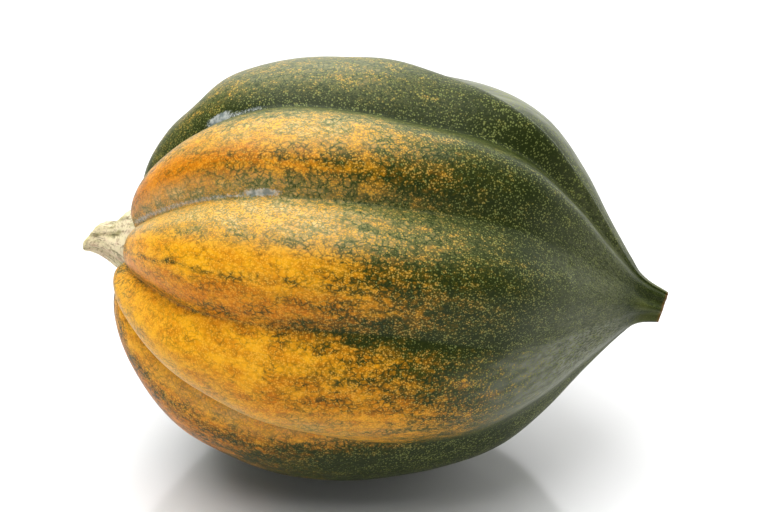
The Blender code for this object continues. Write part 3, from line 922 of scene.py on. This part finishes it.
sheet = bmesh.new()
bmesh.ops.create_grid(sheet, x_segments=1, y_segments=1, size=FLOOR_HALF)
floor = finish_mesh("white_floor", sheet)
acrylic, tree = material("white_acrylic")
glossy = add(tree, "BsdfPrincipled", {"Base Color": colour("#efefef"), "Roughness": ACRYLIC_ROUGHNESS,
                                      "IOR": ACRYLIC_IOR})
add(tree, "OutputMaterial", {"Surface": glossy})
floor.data.materials.append(acrylic)
print("the floor is", 2 * FLOOR_HALF, "m wide")

# %% [markdown]
# ## The lights
#
# Four softboxes light it: a broad one nearly overhead, one behind that edges the ribs, a faint
# one on the left and a low one in front. Each is a rectangle of light, given by where it hangs
# and how bright its face is, because that brightness is what a reflection shows, however large
# the box is. Its power follows from that and its area.

# %% Softboxes
AIM = Vector((0.0, 0.0, 55 * MM))
SOFTBOXES = {   # azimuth, elevation in degrees; distance, width, height in metres; radiance
    "back_softbox": (-160.0, 50.0, 1.1, 0.9, 0.6, 3.0),
    "top_softbox": (-60.0, 76.0, 1.1, 1.3, 1.0, 4.1),
    "left_softbox": (-80.0, 34.0, 1.2, 0.7, 0.7, 0.12),
    "low_softbox": (-28.0, 9.0, 1.2, 0.7, 0.3, 1.9),
}


def out_to(azimuth, elevation):
    """The unit vector out to a place at those angles in degrees, from straight in front."""
    turn, tilt = math.radians(azimuth), math.radians(elevation)
    return Vector((math.sin(turn) * math.cos(tilt), -math.cos(turn) * math.cos(tilt), math.sin(tilt)))


for name, (azimuth, elevation, distance, width, height, radiance) in SOFTBOXES.items():
    away = out_to(azimuth, elevation)
    light = bpy.data.lights.new(name, "AREA")
    light.shape = "RECTANGLE"
    light.size, light.size_y = width, height
    light.energy = radiance * math.pi * width * height
    lamp = bpy.data.objects.new(name, light)
    facing_in = away.to_track_quat("Z", "Y").to_matrix().to_4x4()
    lamp.matrix_world = Matrix.Translation(AIM + away * distance) @ facing_in
    bpy.context.scene.collection.objects.link(lamp)
    print(name, round(light.energy, 2), "W")

# %% [markdown]
# ## The room
#
# The room is dim in front, and a pale wall behind and to the right lights the far side. A world
# background can be that wall: the direction a ray leaves in says how bright it finds the room.
# Only the rays that light the squash see it, and behind the squash the picture is plain white.

# %% Room
WALL, DIM = 1.4, 0.11                    # how bright the wall and the rest of the room are
WALL_TOWARDS = (0.45, 0.89, 0.0)
WALL_EDGE, EDGE_SOFTNESS = 0.35, 0.2     # where the wall ends, as the cosine of the angle to it

world = bpy.data.worlds.new("studio")
world.use_nodes = True
tree = world.node_tree
tree.nodes.clear()
ray = add(tree, "TexCoord").outputs["Generated"]
towards = add(tree, "VectorMath", [ray, WALL_TOWARDS], operation="DOT_PRODUCT").outputs["Value"]
wall = add(tree, "MapRange", {"Value": towards, "From Min": WALL_EDGE - EDGE_SOFTNESS,
                              "From Max": WALL_EDGE + EDGE_SOFTNESS, "To Min": DIM, "To Max": WALL},
           interpolation_type="SMOOTHSTEP")
seen = add(tree, "LightPath").outputs["Is Camera Ray"]
shown = add(tree, "Mix", {"Factor": seen, "A": wall, "B": 1.0})
add(tree, "OutputWorld", {"Surface": add(tree, "Background", {"Color": shown})})
bpy.context.scene.world = world
bpy.context.scene.view_settings.view_transform = "Standard"
print("the wall is", round(WALL / DIM, 1), "times as bright as the room")

# %% [markdown]
# ## The camera
#
# A long lens 0.7 m away looks down at 28 degrees from a little right of straight ahead, which
# shows the ribs without swelling the near ones. It aims a little beside the fruit's heart, to
# set the squash in the frame. Its turn is made of three directions at right angles: right, up
# and back.

# %% Camera
AZIMUTH, ELEVATION = 7.0, 28.0           # degrees
DISTANCE, LENS = 0.70, 119.9             # metres, mm
AIM_RIGHT, AIM_UP = 8.4 * MM, 2.9 * MM

ahead = -out_to(AZIMUTH, ELEVATION)
right = Vector((math.cos(math.radians(AZIMUTH)), math.sin(math.radians(AZIMUTH)), 0.0))
up = right.cross(ahead)
aim = heart + right * AIM_RIGHT + up * AIM_UP
camera = bpy.data.objects.new("camera", bpy.data.cameras.new("camera"))
camera.data.lens = LENS
camera.data.clip_start = 0.01
turned_to = Matrix((right, up, -ahead)).transposed().to_4x4()
camera.matrix_world = Matrix.Translation(aim - ahead * DISTANCE) @ turned_to
bpy.context.scene.collection.objects.link(camera)
bpy.context.scene.camera = camera
print("camera at", [round(v, 3) for v in camera.matrix_world.translation])

# %% [markdown]
# ## Riding and handing over
#
# Nothing on a squash moves, so both pieces ride on its one body, `root`. Each stands for its
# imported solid, which is hidden and stays for collisions. The floor is only a stage. Both boxes
# are written down, so that the squash's size can be compared with the frame's.

# %% Ride and hand over
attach(body, "root")
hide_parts("fruit")
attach(stalk, "root")
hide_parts("stem")
